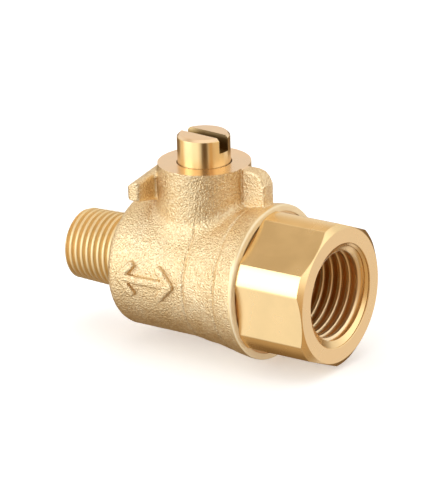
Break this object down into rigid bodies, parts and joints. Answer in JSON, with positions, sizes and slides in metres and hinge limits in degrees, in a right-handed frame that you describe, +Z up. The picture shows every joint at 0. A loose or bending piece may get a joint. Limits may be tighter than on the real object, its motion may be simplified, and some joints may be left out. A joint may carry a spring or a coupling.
{
  "type": "slotted-stem mini ball valve",
  "caption": "Small inline quarter-turn ball valve: male taper thread, hexagon end with female port, cast body with stop lugs and a bare screwdriver-slotted stem.",
  "frame": {"origin": "under the middle of the valve's length, on the pipe's centre plane, level with the lowest point of the body's end rim", "axes": "+X along the pipe from the male thread to the female port, +Z up the stem, +Y to the side"},
  "size_m": [0.0406, 0.0204, 0.0287],
  "materials": {
    "cast_brass": "sand-cast and shot-blasted, fine grain",
    "machined_brass": "turned, semi-polished",
    "plated_ball": "polished plating",
    "ptfe": "waxy white",
    "nitrile": "matte black"
  },
  "bodies": {
    "body": {"valve_body": "cast_brass", "end_connector": "machined_brass", "seat_ring_female_side": "ptfe", "seat_ring_male_side": "ptfe", "stem_thrust_washer": "ptfe"},
    "stem": {"stem": "machined_brass", "stem_oring_lower": "nitrile", "stem_oring_upper": "nitrile"},
    "ball": {"ball": "plated_ball"}
  },
  "joints": [
    {"name": "stem_turn", "type": "hinge", "parent": "body", "child": "stem", "pos_m": [-0.00035, 0, 0.0247], "axis": [0, 0, -1], "range_deg": [0, 90]},
    {"name": "ball_turn", "type": "hinge", "parent": "body", "child": "ball", "pos_m": [-0.00035, 0, 0.0102], "axis": [0, 0, -1], "range_deg": [0, 90]}
  ],
  "couplings": [
    {"joint": "ball_turn", "follows": "stem_turn", "ratio": 1}
  ]
}
